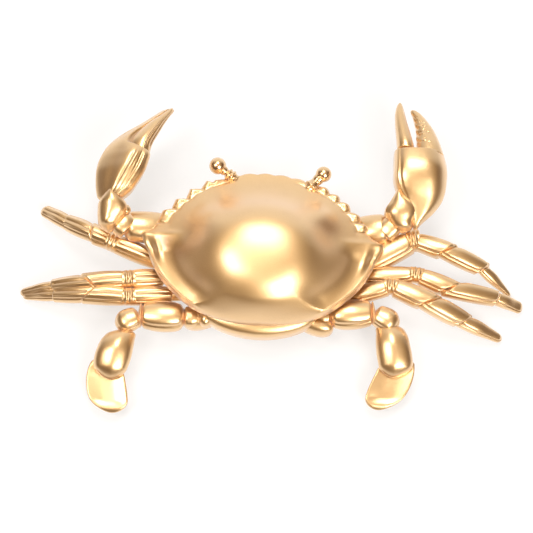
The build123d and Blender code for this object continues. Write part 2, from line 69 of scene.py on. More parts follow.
width_in_mm = 241.2
mm = (cad_high[0] - cad_low[0]) / width_in_mm
boxes = {name: np.array(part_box(name)) / mm for name in frame["nodes"]}
print("nodes", len(boxes), "one millimetre is", round(mm, 6), "m")


def spot(node, shares):
    """A place in a node's box: its low corner plus shares of the way to its high corner. Rows work too."""
    low, high = boxes[node]
    return low + (high - low) * np.array(shares, float)

# %% [markdown]
# ## From rings of points to a closed shell
# Every carved piece is made of rings: a row of points round a section, and another ring beside it. Quads join
# neighbouring rings, and a fan of triangles closes each end at one pole point. Which way the faces look
# depends on the direction that the rings run in, so the enclosed volume is worked out and a shell that
# comes out negative is turned round.


# %% Closed shells
def shell(rings, painted_shade):
    """Points, quads, triangles and painted shade (groove depth or patches) of a closed tube of rings (rows,
    columns, 3).
    """
    rows, columns = rings.shape[:2]
    points = np.concatenate([rings.reshape(-1, 3), [rings[0].mean(0), rings[-1].mean(0)]])
    ring = np.arange(rows * columns).reshape(rows, columns)
    beside = np.roll(ring, -1, axis=1)
    quads = np.stack([ring[:-1], beside[:-1], beside[1:], ring[1:]], axis=-1).reshape(-1, 4)
    first_pole, last_pole = rows * columns, rows * columns + 1
    near = np.stack([np.full(columns, first_pole), beside[0], ring[0]], axis=-1)
    far = np.stack([np.full(columns, last_pole), ring[-1], beside[-1]], axis=-1)
    triangles = np.concatenate([near, far])
    every = np.concatenate([quads[:, :3], quads[:, [0, 2, 3]], triangles])
    a, b, c = points[every[:, 0]], points[every[:, 1]], points[every[:, 2]]
    if np.einsum("ij,ij->i", a, np.cross(b, c)).sum() < 0:
        quads, triangles = quads[:, ::-1], triangles[:, ::-1]
    depth = np.concatenate([painted_shade.reshape(-1), painted_shade[0, :1], painted_shade[-1, :1]])
    return points, quads, triangles, depth


def make_piece(node, shells, name=None):
    """One object from several shells. It rides on the body, stands for its CAD node, takes its slot and wears
    the finish of that slot. Unless it is given a name, it is the casting of its node."""
    name = name or f"{node}_casting"
    points, faces, depths, count = [], [], [], 0
    for shell_points, quads, triangles, depth in shells:
        points.append(shell_points)
        faces += (quads + count).tolist() + (triangles + count).tolist()
        depths.append(depth)
        count += len(shell_points)
    mesh = bpy.data.meshes.new(name)
    mesh.from_pydata((np.concatenate(points) * mm).tolist(), [], faces)
    mesh.polygons.foreach_set("use_smooth", np.ones(len(mesh.polygons), bool))
    # The stored attribute is painted shade: the gold finish turns the tone brown where it is high.
    mesh.attributes.new("painted_shade", "FLOAT", "POINT").data.foreach_set("value", np.concatenate(depths))
    mesh.materials.append(finishes[slots[node]])
    piece = bpy.data.objects.new(name, mesh)
    bpy.context.scene.collection.objects.link(piece)
    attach(piece, "root")
    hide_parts(node)
    print(name, "points", count, "faces", len(faces))


slots = {row["node"]: row["material_slot"] for row in frame["record"]["subparts"]}
print("slots", sorted(set(slots.values())))

# %% [markdown]
# ## Curves through a few measured places
# A limb is known at a few stations: how wide and how deep it is there. Between them its skin has to run
# smoothly, so each value follows the cubic that passes through every station with the slope of its
# neighbours. Straight lines between stations would show as facets in a gloss finish.


# %% Smooth tables
def smooth(table, along):
    """A table's values at any places: the cubic through each row, its slope there that of the rows beside."""
    table = np.array(table, float)
    stations, values = table[:, 0], table[:, 1:]
    slopes = np.gradient(values, stations, axis=0)
    before = np.clip(np.searchsorted(stations, along, side="right") - 1, 0, len(stations) - 2)
    step = (stations[before + 1] - stations[before])[:, None]
    t = (along - stations[before])[:, None] / step
    return ((2 * t**3 - 3 * t**2 + 1) * values[before] + (t**3 - 2 * t**2 + t) * step * slopes[before]
            + (3 * t**2 - 2 * t**3) * values[before + 1] + (t**3 - t**2) * step * slopes[before + 1])


def ease(x, low, high):
    """0 below low and 1 above high, with a soft step between: t squared times (3 - 2 t)."""
    t = np.clip((x - low) / (high - low), 0, 1)
    return t * t * (3 - 2 * t)


def bell(x, middle, width):
    """A bump of height 1: e to the power of minus ((x - middle) / width) squared."""
    return np.exp(-(((x - middle) / width) ** 2))


print("a soft step is", ease(0.25, 0, 1), "a quarter of the way up")

# %% [markdown]
# ## The skin of a limb
# A limb's section is a superellipse: the radius at each angle is such that |cos| and |sin|, both raised to a
# power, add up to 1. Power 2 is an ellipse, 2.3 is the boxier section of the right legs, and below 2 there is
# a keel on top. Angle 0 is the side of the limb that faces the crab's front, and 90 degrees is its top.
# Ridges and grooves are bells over that angle that drift and fade along the limb, as on a carved mould.

# %% Skin and segments
skyward = np.array([0, 0, 1])


def unit(vector):
    """The vector at length 1."""
    return vector / np.linalg.norm(vector)


def crowded(rows):
    """Shares of the way that lie closer together towards both ends: (1 - cos) / 2 over half a turn."""
    return (1 - np.cos(np.pi * (np.arange(rows) + 0.5) / rows)) / 2


def skin(path, along, half_width, half_depth, front, up, power=2.2, ridges=(), columns=56, shift=None,
         hollow=None, shear=0.0, carve=None):
    """Rings round a path: path + front * half width * x + up * half depth * y, with x, y on a superellipse,
    whose power may be a pair for the front and the back. Each ridge adds height * bell(angle) to the radius:
    a row of its first and last angle, width, height, and the shares of the way where it fades in and out.
    Carve adds its own relief, a hollow lowers the top, and a shear moves the top sideways by that share of
    the half width."""
    angles = np.linspace(0, 2 * np.pi, columns, endpoint=False)
    degrees, cosine, sine = np.degrees(angles), np.cos(angles), np.sin(angles)
    front_power, back_power = power if isinstance(power, tuple) else (power, power)
    powers = back_power + (front_power - back_power) * (0.5 + 0.5 * cosine)
    radius = (abs(cosine) ** powers + abs(sine) ** powers) ** (-1 / powers)
    relief = np.zeros((len(path), columns))
    for first, last, width, height, start, end in ridges:
        turn = (degrees - first - (last - first) * along[:, None] + 180) % 360 - 180
        fade = ease(along, start, start + 0.12) * (1 - ease(along, end - 0.12, end))
        relief += height * bell(turn, 0, width) * fade[:, None]
    if carve is not None:
        relief += carve(along[:, None], degrees)
    x = half_width[:, None] * (radius * cosine * (1 + relief) + shear * np.clip(sine, 0, 1))
    y = half_depth[:, None] * radius * sine * (1 + relief)
    if hollow is not None:
        y -= hollow[:, None] * ease(sine, 0.55, 1.0)
    rings = path[:, None] + x[..., None] * front + y[..., None] * up
    if shift is not None:
        rings = rings + shift[:, None] * cosine[:, None]
    # Groove depth from the sunken relief goes on as painted shade in the grooves.
    return shell(rings, np.clip(-relief * 10, 0, 1))


def cushion(middle, half_angle, start, end, height):
    """Carving for a segment's top: a cushion whose outline is |angle|^3 + |along|^8 = 1, ringed by a fine
    sunken line.
    """

    def carve(along, degrees):
        turn = ((degrees - middle + 180) % 360 - 180) / half_angle
        place = (2 * along - start - end) / (end - start)
        outline = abs(turn) ** 3 + abs(place) ** 8
        return height * (1 - ease(outline, 0.35, 1.0)) - height * 0.8 * bell(outline, 1.2, 0.3)

    return carve


def rounding(distance, length):
    """How wide a round end is: the root of 1 - (1 - d)^2, d being distance from the end over length."""
    return np.sqrt(1 - (1 - np.clip(distance / length, 0, 1)) ** 2)


lip_place, lip_width, lean_reach = 1.1, 0.09, 0.45


def segment(side, start, end, width, sections, power=2.2, ridges=(), bow=0.0, slants=(0.0, 0.0),
            lips=(0.0, 0.0), blunt=(0.5, 0.5), rows=48, columns=72, carve=None):
    """A straight piece of limb. Its ends are rounded over a share of its half width, and a lip swells the
    skin just behind the rounding. Slants lean an end by moving its points along the limb in step with the
    cosine of their angle."""
    start, end = np.array(start, float), np.array(end, float)
    length = np.linalg.norm(end - start)
    heading = (end - start) / length
    up = unit(skyward - heading * heading[2])
    front = np.cross(up, heading) * side
    along = crowded(rows)
    sizes = smooth(sections, along) * width / 2
    size = np.ones(rows)
    lean = np.zeros(rows)
    ends = (along * length, (1 - along) * length)
    for distance, share, lip, slant in zip(ends, blunt, lips, slants):
        round_length = share * width / 2
        swelling = lip * bell(distance, round_length * lip_place, width * lip_width)
        size *= rounding(distance, round_length) * (1 + swelling)
        lean += slant * (1 - ease(distance, 0, length * lean_reach))
    path = start + heading * (along * length)[:, None] + up * (bow * width * 4 * along * (1 - along))[:, None]
    shift = (lean * sizes[:, 0])[:, None] * heading
    return skin(path, along, sizes[:, 0] * size, sizes[:, 1] * size, front, up, power, ridges, columns,
                shift if any(slants) else None, carve=carve)


def pebble(place, half_sizes, turn=0.0, power=2.2, section=2.2, rows=28, columns=56):
    """A rounded stone: its size follows (1 - |s|^power)^(1 / power) from end to end, its section is a
    superellipse, and it is turned about the vertical by some degrees."""
    spans = np.sin(np.pi / 2 * np.linspace(-1, 1, rows + 2)[1:-1])
    size = (1 - abs(spans) ** power) ** (1 / power)
    heading = np.array([np.cos(np.radians(turn)), np.sin(np.radians(turn)), 0])
    front = np.array([-heading[1], heading[0], 0])
    path = np.array(place, float) + spans[:, None] * half_sizes[0] * heading
    return skin(path, (spans + 1) / 2, size * half_sizes[1], size**0.5 * half_sizes[2], front, skyward,
                section, columns=columns)


print("a round end at a tenth of its length has", rounding(0.1, 1.0).round(3), "of its width")

# %% [markdown]
# ## The shader kit
# A finish is maths on coordinates. Written as nodes it is hard to read, so a small class wraps a socket and
# gives it Python's operators. Every other node comes from one method, which takes the node's settings and
# what goes into its sockets.


# %% Sockets that add and multiply
class Wire:
    """A number travelling through a material: adding, multiplying and so on make Math nodes."""

    def __init__(self, tree, socket):
        self.tree = tree
        self.socket = socket

    def node(self, kind, settings=None, inputs=None, output=0):
        """A node of any type, its settings first and its sockets' values or links after them."""
        made = self.tree.nodes.new(kind)
        for key, value in (settings or {}).items():
            setattr(made, key, value)
        for key, value in (inputs or {}).items():
            if isinstance(value, Wire):
                self.tree.links.new(value.socket, made.inputs[key])
            else:
                made.inputs[key].default_value = value
        return Wire(self.tree, made.outputs[output])

    def math(self, operation, other=None, first=None):
        """One Math node of this operation."""
        inputs = {0: self if first is None else first}
        if other is not None:
            inputs[1] = other
        return self.node("ShaderNodeMath", {"operation": operation}, inputs)

    def __add__(self, other):
        return self.math("ADD", other)

    __radd__ = __add__

    def __mul__(self, other):
        return self.math("MULTIPLY", other)

    __rmul__ = __mul__

    def __sub__(self, other):
        return self.math("SUBTRACT", other)

    def __rsub__(self, other):
        return self.math("SUBTRACT", self, first=other)

    def clamp(self):
        """The number kept between 0 and 1."""
        return self.node("ShaderNodeClamp", {}, {0: self})


def start_material(name):
    """An empty material, its Principled node and a wire to start from."""
    material = bpy.data.materials.new(name)
    material.use_nodes = True
    principled = material.node_tree.nodes["Principled BSDF"]
    place = material.node_tree.nodes.new("ShaderNodeTexCoord")
    return material, principled, Wire(material.node_tree, place.outputs["Object"])


# %% [markdown]
# ## Satin gold lacquer
# Sprayed gold is metal flake in a clear binder: a metallic base, rough enough that lamps become soft clouds,
# with a fine grain where the flakes lie unevenly. In the grooves the tone turns browner as painted shade, and
# in a few soft patches on the back it turns browner as painted dark reflections. The grain is bump at the
# scale of the flakes, and the painted shade follows an attribute that each mesh carries: groove depth, or the
# patches.


# %% Gold
# brown_gold is painted shade where the stored attribute calls for it, and random tone in clouds and flakes.
pale_gold, warm_gold, brown_gold = (0.87, 0.56, 0.24, 1), (0.86, 0.55, 0.24, 1), (0.52, 0.27, 0.08, 1)
flake_size, cloud_size, flake_height = 0.45 * mm, 14 * mm, 0.04 * mm
brown_shares, rough_shares = (0.8, 0.4, 0.35), (0.08, 0.08, 0.10)
lacquer = {"Metallic": 1.0, "Coat Weight": 0.9, "Coat Roughness": 0.26, "Coat IOR": 2.1, "Sheen Weight": 0.55,
           "Sheen Roughness": 0.45, "Sheen Tint": (1.0, 0.93, 0.92, 1)}


def connect(shader, wires, constants):
    """Links what changes over the surface, and sets what stays the same straight on the shader's sockets."""
    for name, wire in wires.items():
        wire.tree.links.new(wire.socket, shader.inputs[name])
    for name, value in constants.items():
        shader.inputs[name].default_value = value


def noise(place, size, detail):
    """Noise on Object coordinates with grains of this size."""
    return place.node("ShaderNodeTexNoise", {}, {"Vector": place, "Scale": 1 / size, "Detail": detail})


def mixed(place, share, first, second):
    """The first colour where the share is 0 and the second where it is 1."""
    return place.node("ShaderNodeMix", {"data_type": "RGBA"}, {0: share, 6: first, 7: second}, output=2)


def gold(name, base, roughness, grain):
    """A gold finish. Grooves, clouds and flakes, each times its share and added up, turn the tone brown and
    roughen it, and the flakes are a fine bump too. The brown from the grooves is painted shade, and the brown
    from clouds and flakes is random tone."""
    material, shader, place = start_material(name)
    # The attribute read here is painted shade: groove depth on the limbs, dark patches on the back shell.
    painted_shade = place.node("ShaderNodeAttribute", {"attribute_name": "painted_shade"}, output=2)
    clouds, flakes = noise(place, cloud_size, 3.0), noise(place, flake_size, 2.0)

    def uneven(shares):
        return painted_shade * shares[0] + (clouds - 0.5) * shares[1] + (flakes - 0.5) * shares[2]

    bump = place.node("ShaderNodeBump", {}, {"Strength": grain, "Distance": flake_height, "Height": flakes})
    connect(shader, {"Base Color": mixed(place, uneven(brown_shares).clamp(), base, brown_gold),
                     "Roughness": roughness + uneven(rough_shares), "Normal": bump}, lacquer)
    return material


finishes = {
    "gold_shell": gold("satin gold on the shell", pale_gold, 0.41, 0.60),
    "gold_underbody": gold("satin gold on the belly", pale_gold, 0.38, 0.50),
    "gold_claws": gold("satin gold on the claws", pale_gold, 0.34, 0.45),
    "gold_legs": gold("satin gold on the legs", pale_gold, 0.34, 0.40),
    "gold_eyes": gold("satin gold on the eyes", warm_gold, 0.22, 0.25),
}
print("finishes", list(finishes))

# %% [markdown]
# ## The back shell
# The back is one dome with a flat margin: a low swell that runs out to the side spines, with a round dome on
# it. Its edge is an ellipse with scallops between the eyes, hooked teeth down the front sides, a spine
# on each side and a plain edge behind, where the dome rolls over into the wall. So the grid is polar: shares
# of the way to the edge times angles round it, and the height is a formula of the place.

# %% Edge of the back shell
shell_low, shell_high = boxes["carapace"]
rim = shell_low[2]
scallop, spine_reach, length_reach = 0.9, 1.15, 2.013
shell_half_width = shell_high[0] / spine_reach
shell_half_length = (shell_high[1] - shell_low[1] - scallop) / length_reach
shell_lead = shell_high[1] - scallop - shell_half_length
left_teeth = ((60.4, 1.012), (56.5, 1.048), (45.5, 1.042), (34.6, 1.044), (23.9, 1.064))
right_teeth = ((55.5, 1.045), (46.9, 1.040), (38.7, 1.036), (28.0, 1.045), (19.1, 1.055))
left_notches = ((58.9, 0.998), (50.8, 0.982), (38.8, 0.974), (27.6, 1.004), (14.5, 1.045))
right_notches = ((51.4, 1.004), (42.9, 0.996), (33.2, 0.994), (23.4, 1.006), (15.0, 1.018))
rear_edge = ((-90, 1.013), (-69.5, 1.030), (-55.1, 1.049), (-38.0, 1.040), (-18.1, 1.063), (-5.8, 1.085))
spine_edge = ((3.6, 1.150), (5.5, 1.158), (7.2, 1.115), (9.5, 1.07))


def edge_table(teeth, notches, sharpness):
    """Angle and radius share of one side's edge, from the rear middle to the front. Between a tip and the
    notch beside it the radius falls with the distance from the tip to the power of the sharpness."""
    rows = list(rear_edge) + list(spine_edge)
    marks = sorted(list(teeth) + list(notches))
    for (start, start_share), (end, end_share) in zip(marks, marks[1:]):
        for step in np.linspace(0, 0.9, 10):
            if start_share < end_share:
                share = end_share - (end_share - start_share) * (1 - step) ** sharpness
            else:
                share = start_share - (start_share - end_share) * step**sharpness
            rows.append((start + (end - start) * step, share))
    return np.array(rows + [marks[-1], (66.0, 1.0), (90.0, 1.0)])


scallop_start, scallop_angle, scallop_share = 66.0, 9.6, 0.020


def edge_share(angle):
    """How far out the edge lies at each angle, as a share of the plain ellipse: the tables of the two sides,
    and |sin| for the scallops between the eyes."""
    folded = np.degrees(np.arcsin(np.sin(angle)))
    right = np.interp(folded, *edge_table(right_teeth, right_notches, 1.5).T)
    left = np.interp(folded, *edge_table(left_teeth, left_notches, 0.8).T)
    scallops = abs(np.sin(np.radians(folded - scallop_start) * 180 / scallop_angle)) * scallop_share
    scallops *= ease(folded, scallop_start - 1, scallop_start + 1)
    return np.where(np.cos(angle) >= 0, right, left) + scallops


print("edge reaches", edge_share(np.radians([5.5, 90.0, 174.5])).round(3))


# %% Height of the back
wing_rise, dome_rise = 7.0, 17.0
dome_half_width, dome_half_length, dome_setback, dome_power, dome_front_cut = 33.0, 31.0, 5.5, 2.5, 5.0
eye_seats = (spot("left_eye", (0.62, 0.35, 0))[:2], spot("right_eye", (0.45, 0.35, 0))[:2])


def back_height(x, y):
    """Height above the rim: a low swell, 7 / (1 + r^2)^2, plus the dome, 17 / (1 + d^5). The dome is an
    ellipse that is shorter in front of its middle than behind it."""
    swell = (x / shell_half_width) ** 2 + (y / shell_half_length) ** 2
    ahead_of_middle = y + dome_setback - shell_lead
    dome_length = dome_half_length - dome_front_cut * ease(ahead_of_middle, -8, 14)
    dome = (x / dome_half_width) ** 2 + (ahead_of_middle / dome_length) ** 2
    return wing_rise / (1 + swell) ** 2 + dome_rise / (1 + dome**dome_power)


# Each mound or dip: x, y, height and size in mm.
mounds = ((27.5, 16.0, 2.4, 6.5), (30.0, 3.0, -1.2, 7.0), (-26.0, 12.0, 1.6, 7.5), (-33.0, 2.0, -0.9, 6.0))
# Each carved band: its height in mm, then its place and its width as shares of the way out.
edge_bead, wing_hollow, tooth_cushion = (0.8, 0.984, 0.009), (-1.8, 0.880, 0.100), (0.9, 0.965, 0.035)
front_line, side_bead = (-0.30, 0.915, 0.018), (0.5, 0.93, 0.012)
notch_depth, crest_height, step_depth, seat_depth, seat_size = 0.8, 1.0, 1.6, 1.6, 2.6
spine_angle, crest_spread, tooth_spread, notch_spread = 5.2, 3.4, 2.6, 1.1
roll_start, wing_roll, rear_roll, roll_power = 0.958, 0.026, 0.17, 2.2


def band(share, carving):
    """A carving along the edge: its height times a bell over the share of the way out."""
    height, place, width = carving
    return height * bell(share, place, width)


def wing_zone(degrees):
    """1 along the rear sides, where the shell has its hollow wings, and 0 elsewhere."""
    return ease(degrees, -66, -50) * (1 - ease(degrees, -10, 2))


def carved_height(x, y, share, degrees, right):
    """Carving on the dome: a bead along the rear edge and a hollow wing inside it, mounds and dips on the
    shoulders, a cushion on each tooth and a cut at each notch, a fine line behind them, a crest out to each
    spine and a step beside it, and a seat for each eye."""
    carving = wing_zone(degrees) * (band(share, edge_bead) + band(share, wing_hollow))
    for mound_x, mound_y, mound_height, mound_size in mounds:
        carving = carving + mound_height * bell(np.hypot(x - mound_x, y - mound_y), 0, mound_size)
    for teeth, notches, here in ((right_teeth, right_notches, right), (left_teeth, left_notches, ~right)):
        for tip, _ in teeth:
            carving += here * bell(degrees, tip, tooth_spread) * band(share, tooth_cushion)
        for notch, _ in notches:
            carving -= here * notch_depth * bell(degrees, notch, notch_spread) * ease(share, 0.90, 0.98)
    carving += ease(degrees, 10, 16) * (1 - ease(degrees, 66, 74)) * band(share, front_line)
    carving += crest_height * bell(degrees, spine_angle, crest_spread) * ease(share, 0.70, 1.0)
    carving += bell(degrees, -6, 8) * (band(share, side_bead) - step_depth * ease(share, 0.935, 0.97))
    for eye_x, eye_y in eye_seats:
        carving -= seat_depth * bell(np.hypot(x - eye_x, y - eye_y), 0, seat_size)
    return carving


def rolled(share, degrees):
    """How much height is left near the edge: (1 - q^2.2)^(1 / 2.2), a quarter round that is wider behind."""
    start = roll_start + wing_roll * wing_zone(degrees) - rear_roll * ease(-degrees, 50, 70)
    q = np.clip((share - start) / (1 - start), 0, 1)
    return (1 - q**roll_power) ** (1 / roll_power)


print("height at the middle", back_height(0, shell_lead - dome_setback).round(2), "mm over the rim")

# %% Back shell surface
columns, top_rows = 640, 120
angles = np.linspace(0, 2 * np.pi, columns, endpoint=False)
folded_angles, right_side = np.degrees(np.arcsin(np.sin(angles))), np.cos(angles) >= 0
edge_thickness, wall = 0.6, 4.0


def shell_ring(share):
    """Level places at a share of the way out, and the surface height there."""
    reach = 1 + (edge_share(angles) - 1) * ease(share, 0.84, 1.0)
    x = share * reach * shell_half_width * np.cos(angles)
    y = shell_lead + share * reach * shell_half_length * np.sin(angles)
    height = back_height(x, y) + carved_height(x, y, share, folded_angles, right_side)
    return x, y, rim + edge_thickness + (height - edge_thickness) * rolled(share, folded_angles)


def level_ring(share, height):
    """A ring at a share of the way out, all of it at one height."""
    x, y, _ = shell_ring(share)
    return np.stack([x, y, np.full(columns, height)], axis=-1)


# Rows lie closer together towards the edge, where the carving is fine.
rings = [np.stack(shell_ring(share), axis=-1) for share in 1 - (1 - np.linspace(0.004, 1, top_rows)) ** 1.5]
rings += [level_ring(1.0, rim + edge_thickness * lift) for lift in (0.66, 0.33, 0.0)]
rings += [level_ring(share, rim) for share in (0.96, 0.90, 0.84)]
for share in (0.83, 0.8, 0.7, 0.55, 0.4, 0.25, 0.1, 0.01):
    x, y, height = shell_ring(share)
    rings.append(np.stack([x, y, np.maximum(height - wall, rim + edge_thickness)], axis=-1))
rings = np.array(rings)
# Painted shade: brown patches where the metal shows dark surroundings.
# Each patch: x and y as shares of the shell's half sizes, how brown it is, and its size.
dark_reflection_patches = ((0.606, 0.227, 1.0, 0.12), (-0.909, -0.013, 0.9, 0.09), (-0.768, -0.174, 0.9, 0.17),
              (-0.576, -0.521, 0.6, 0.15), (0.646, -0.521, 0.2, 0.15))
across = rings[..., 0] / shell_half_width
lengthwise = (rings[..., 1] - shell_lead) / shell_half_length
brown = sum(amount * bell(np.hypot(across - x, lengthwise - y), 0, size) for x, y, amount, size in dark_reflection_patches)
make_piece("carapace", [shell(rings, np.clip(brown, 0, 1))], "back_shell")

# %% [markdown]
# ## The belly casting
# Under the shell sits a bowl with steep flanks, and each limb stands on a short round boss. The bowl is a
# stack of ellipses, read from a smooth table. The pale band that shows behind the shell is a wide pebble let
# into the bowl, with a small one on each side of it, because a band that bulges is easier to place that way.

# %% Belly casting
belly_sections = ((1.5, 30.0, 20.0), (3.0, 34.5, 24.5), (6.0, 38.2, 28.0), (12.0, 41.0, 31.0),
                  (18.0, 41.4, 31.2), (22.0, 45.0, 33.2))
plate_count, joint_depth, joint_width = 14, 0.012, 0.14
levels = np.linspace(belly_sections[0][0], belly_sections[-1][0], 70)
turns = np.linspace(0, 2 * np.pi, 220, endpoint=False)
half_sizes = smooth(belly_sections, levels)
plates = 1 - joint_depth * (np.abs(np.sin(turns * (plate_count / 2))) < joint_width)
ring_x = half_sizes[:, :1] * np.cos(turns) * plates
ring_y = shell_lead + half_sizes[:, 1:] * np.sin(turns) * plates
bowl = np.stack([ring_x, ring_y, np.broadcast_to(levels[:, None], ring_x.shape)], axis=-1)


def closing(ring, shares):
    """Copies of an end ring, each shrunk to a share of its size, that close the bowl."""
    return np.array([ring * [share, share, 1] + [0, shell_lead * (1 - share), 0] for share in shares])


bowl = np.concatenate([closing(bowl[0], (0.02, 0.4, 0.8)), bowl, closing(bowl[-1], (0.8, 0.4, 0.02))])
belly_shells = [shell(bowl, np.zeros(bowl.shape[:2]))]
apron_middle, apron_half_sizes = (0, shell_low[1] + 8.8, 15.0), (28.0, 13.2, 7.0)
belly_shells.append(pebble(apron_middle, apron_half_sizes, power=1.9, section=3.4, rows=60, columns=128))
flank_out, flank_half_sizes, flank_turn = 27.0, (8.6, 5.0, 6.0), 16
for side in (-1, 1):
    flank_middle = (side * flank_out, shell_low[1] + 5.0, 11.0)
    belly_shells.append(pebble(flank_middle, flank_half_sizes, turn=-side * flank_turn))
print("belly", boxes["underbody"].round(1).tolist())

# %% [markdown]
# ## Walking legs
# A leg is a chain: hip, upper leg, a knee of two beads, wrist, palm and toe. Each segment starts a little
# inside the last one, and its end leans, so the joints show as slanting lines. The left legs have long
# ridges along their tops, and the right legs are boxy with a raised cushion on each segment.

# %% Walking leg segments
girth_share = 0.214
girth = shell_half_length * girth_share
hip_sections = ((0, 0.95, 0.90), (0.5, 1.0, 0.95), (1, 0.9, 0.85))
upper_sections = ((0, 0.84, 0.84), (0.3, 1.0, 0.98), (0.7, 1.04, 1.0), (1, 0.96, 0.94))
wrist_sections = ((0, 0.92, 0.90), (0.25, 1.0, 0.98), (0.6, 1.08, 1.02), (0.9, 1.04, 0.98), (1, 1.0, 0.94))
palm_sections = ((0, 0.94, 0.90), (0.25, 1.06, 1.0), (0.65, 1.06, 0.98), (1, 0.92, 0.88))
long_ridges = ((66, 66, 8, 0.07, -0.2, 1.2), (88, 88, 6, -0.09, 0.02, 0.98), (110, 110, 8, 0.07, -0.2, 1.2),
               (34, 34, 7, -0.07, 0.0, 1.0), (140, 140, 7, -0.07, 0.0, 1.0))
# For each side: the section's power, the ridges along a segment, and the carving on it.
leg_styles = {-1: (2.0, long_ridges, None), 1: (2.3, (), cushion(84, 50, 0.0, 0.97, 0.12))}
knee_half, knee_gap, knee_reach, knee_width, bead_height = 0.25 * girth, 0.6, 2.0, 0.93, 0.15
overlap, reach, end_lip = 0.16, 0.06, 0.012


def knee_beads(along, degrees):
    """Two small beads across the top of a knee: bells along it and round it."""
    return bead_height * (bell(along, 0.37, 0.08) + bell(along, 0.63, 0.08)) * bell(degrees, 90, 75)


def walking_leg(side, joints, widths, slants, toe_end):
    """Shells of one leg. A knee with two beads joins the upper leg to the wrist, and past it each segment
    starts a little inside the last. Widths are shares of the girth, and the toe end is a share of the toe."""
    power, ridges, carve = leg_styles[side]
    widths = np.array(widths) * girth
    toe_sections = ((0, 1.0, 0.9), (0.35, 1.04, 0.92), (0.7, 0.5 + toe_end * 0.5, 0.6), (1, toe_end, 0.45))
    tables = (hip_sections, upper_sections, wrist_sections, palm_sections, toe_sections)
    shells = []
    for index, (table, width) in enumerate(zip(tables, widths)):
        is_hip, before_knee, after_knee, is_toe = (index == place for place in (0, 1, 2, 4))
        start, end = joints[index], joints[index + 1]
        heading = unit(end - start)
        start = start + heading * (knee_half * knee_gap if after_knee else -width * overlap)
        end = end + heading * (-knee_half * knee_gap if before_knee else 0 if is_toe else width * reach)
        lean = (slants[index - 3] if index > 2 else 0, slants[index - 2] if 1 < index < 4 else 0)
        shells.append(segment(
            side, start, end, width, table, power=2.0 if is_hip else power, ridges=ridges, bow=0.04,
            slants=lean, lips=(0.0, 0 if before_knee or is_toe else end_lip),
            blunt=(0.3, 0.8 if is_toe else 0.3), rows=64, columns=120, carve=None if is_hip else carve))
    across = unit(joints[3] - joints[1]) * knee_half * knee_reach
    shells.append(segment(side, joints[2] - across, joints[2] + across, widths[1] * knee_width,
                          ((0, 1, 1), (1, 1, 1)), blunt=(0.2, 0.2), carve=knee_beads))
    return shells


# %% Six walking legs
# Each leg: joints in shares of its box, widths in girths, slants of two joint lines, how wide the toe ends.
legs = {
    "left_front_leg": (
        ((0.986, 0.12, 0.641), (0.92, 0.079, 0.641), (0.59, 0.325, 0.78), (0.425, 0.467, 0.789),
         (0.218, 0.677, 0.49), (0.004, 0.945, 0.14)),
        (0.80, 1.16, 1.16, 1.06, 0.90), (0.4, 0.2), 0.86),
    "left_middle_leg": (
        ((0.989, 0.726, 0.581), (0.938, 0.642, 0.581), (0.730, 0.40, 0.81), (0.48, 0.17, 0.81),
         (0.236, 0.11, 0.409), (0.003, -0.05, 0.04)),
        (0.80, 1.10, 1.12, 0.98, 0.72), (0.9, 0.3), 0.66),
    "left_rear_leg": (
        ((0.994, 0.715, 0.613), (0.915, 0.643, 0.613), (0.672, 0.41, 0.79), (0.442, 0.44, 0.79),
         (0.22, 0.52, 0.436), (0.004, 0.58, 0.047)),
        (0.80, 1.10, 1.18, 1.04, 0.80), (-0.9, -0.2), 0.66),
    "right_front_leg": (
        ((0.004, 0.382, 0.551), (0.071, 0.401, 0.551), (0.346, 0.882, 0.724),
         (0.563, 0.655, 0.842), (0.798, 0.42, 0.551), (0.994, 0.03, 0.04)),
        (0.80, 1.44, 1.12, 1.04, 0.66), (0.9, 0.6), 0.36),
    "right_middle_leg": (
        ((0.011, 0.584, 0.603), (0.091, 0.73, 0.603), (0.373, 0.79, 0.788),
         (0.570, 0.365, 0.788), (0.836, 0.27, 0.418), (0.996, 0.10, 0.06)),
        (0.80, 1.02, 1.08, 1.04, 0.78), (1.1, 0.2), 0.95),
    "right_rear_leg": (
        ((0.007, 0.647, 0.575), (0.105, 0.713, 0.542), (0.323, 0.91, 0.791),
         (0.55, 0.588, 0.791), (0.757, 0.315, 0.463), (0.995, 0.065, 0.06)),
        (0.80, 1.04, 1.20, 1.16, 0.86), (1.0, 0.7), 0.60),
}
leg_sides = {node: -1 if node.startswith("left") else 1 for node in legs}
leg_joints = {node: spot(node, row[0]) for node, row in legs.items()}
for node, (_, widths, slants, toe_end) in legs.items():
    make_piece(node, walking_leg(leg_sides[node], leg_joints[node], widths, slants, toe_end))

# %% [markdown]
# ## Shapes that are known by their two edges
# A palm, a finger or a paddle curves as it goes. It is simplest to say, at each place along the crab, where
# its inner and its outer edge lie, as a pattern maker would on a drawing. All places are shares of the
# node's box, so the casting stays where the frame has it.

